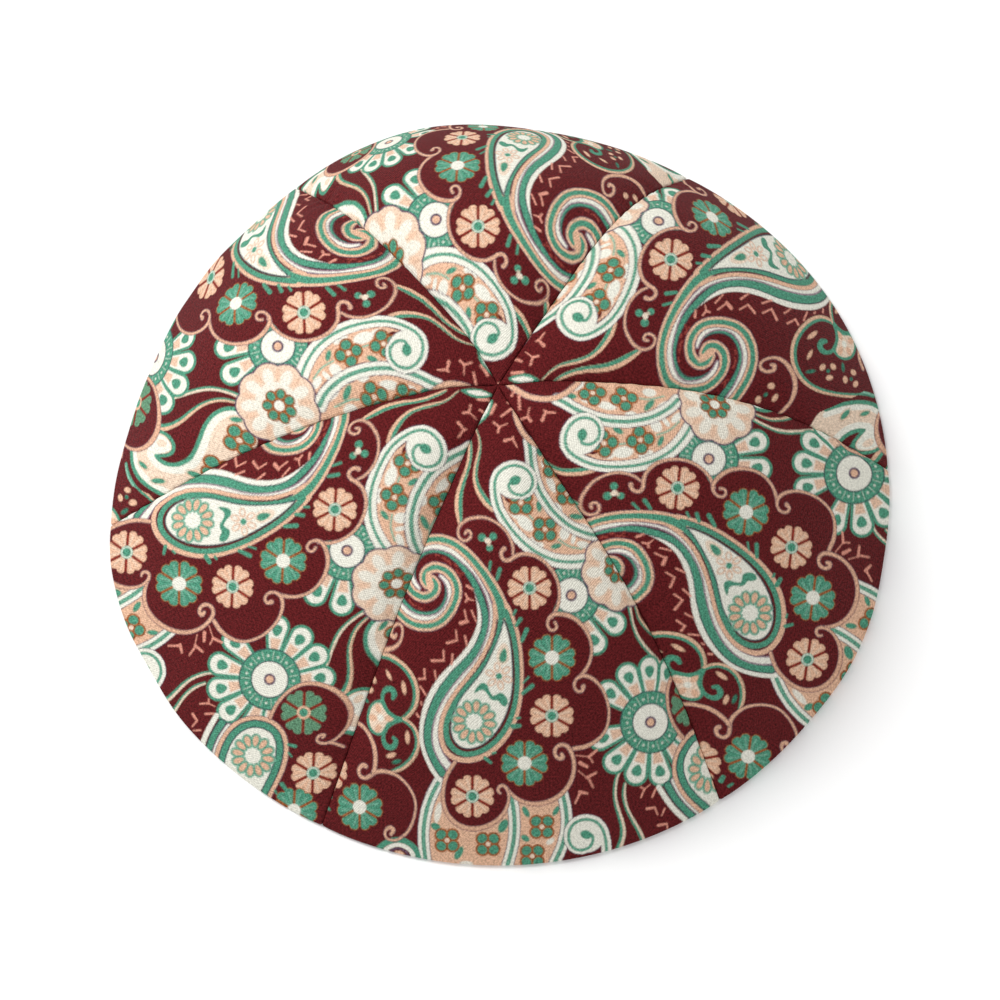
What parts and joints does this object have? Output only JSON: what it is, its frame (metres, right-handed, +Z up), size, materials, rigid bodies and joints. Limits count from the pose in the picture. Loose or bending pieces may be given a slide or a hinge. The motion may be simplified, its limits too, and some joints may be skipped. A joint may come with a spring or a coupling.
{
  "type": "kippah",
  "caption": "Domed cloth skullcap sewn from triangular gores that meet at the crown; open below, it sits on the head or rests on its rim.",
  "frame": {"origin": "on the surface that the rim rests on, under the middle of the rim's box", "axes": "+Z up through the crown, -Y towards the front gore, +X to the right as seen from the front"},
  "size_m": [0.1684, 0.1718, 0.0577],
  "materials": {
    "printed_cloth": "maroon woven cotton satin with a paisley and flower print in green, peach and off-white",
    "plain_cloth": "plain maroon woven cotton, the inner face",
    "thread": "maroon sewing thread"
  },
  "bodies": {
    "root": {"gore_back_left": "printed_cloth", "gore_front_left": "printed_cloth", "gore_front": "printed_cloth", "gore_front_right": "printed_cloth", "gore_back_right": "printed_cloth", "gore_back": "printed_cloth"}
  },
  "joints": []
}
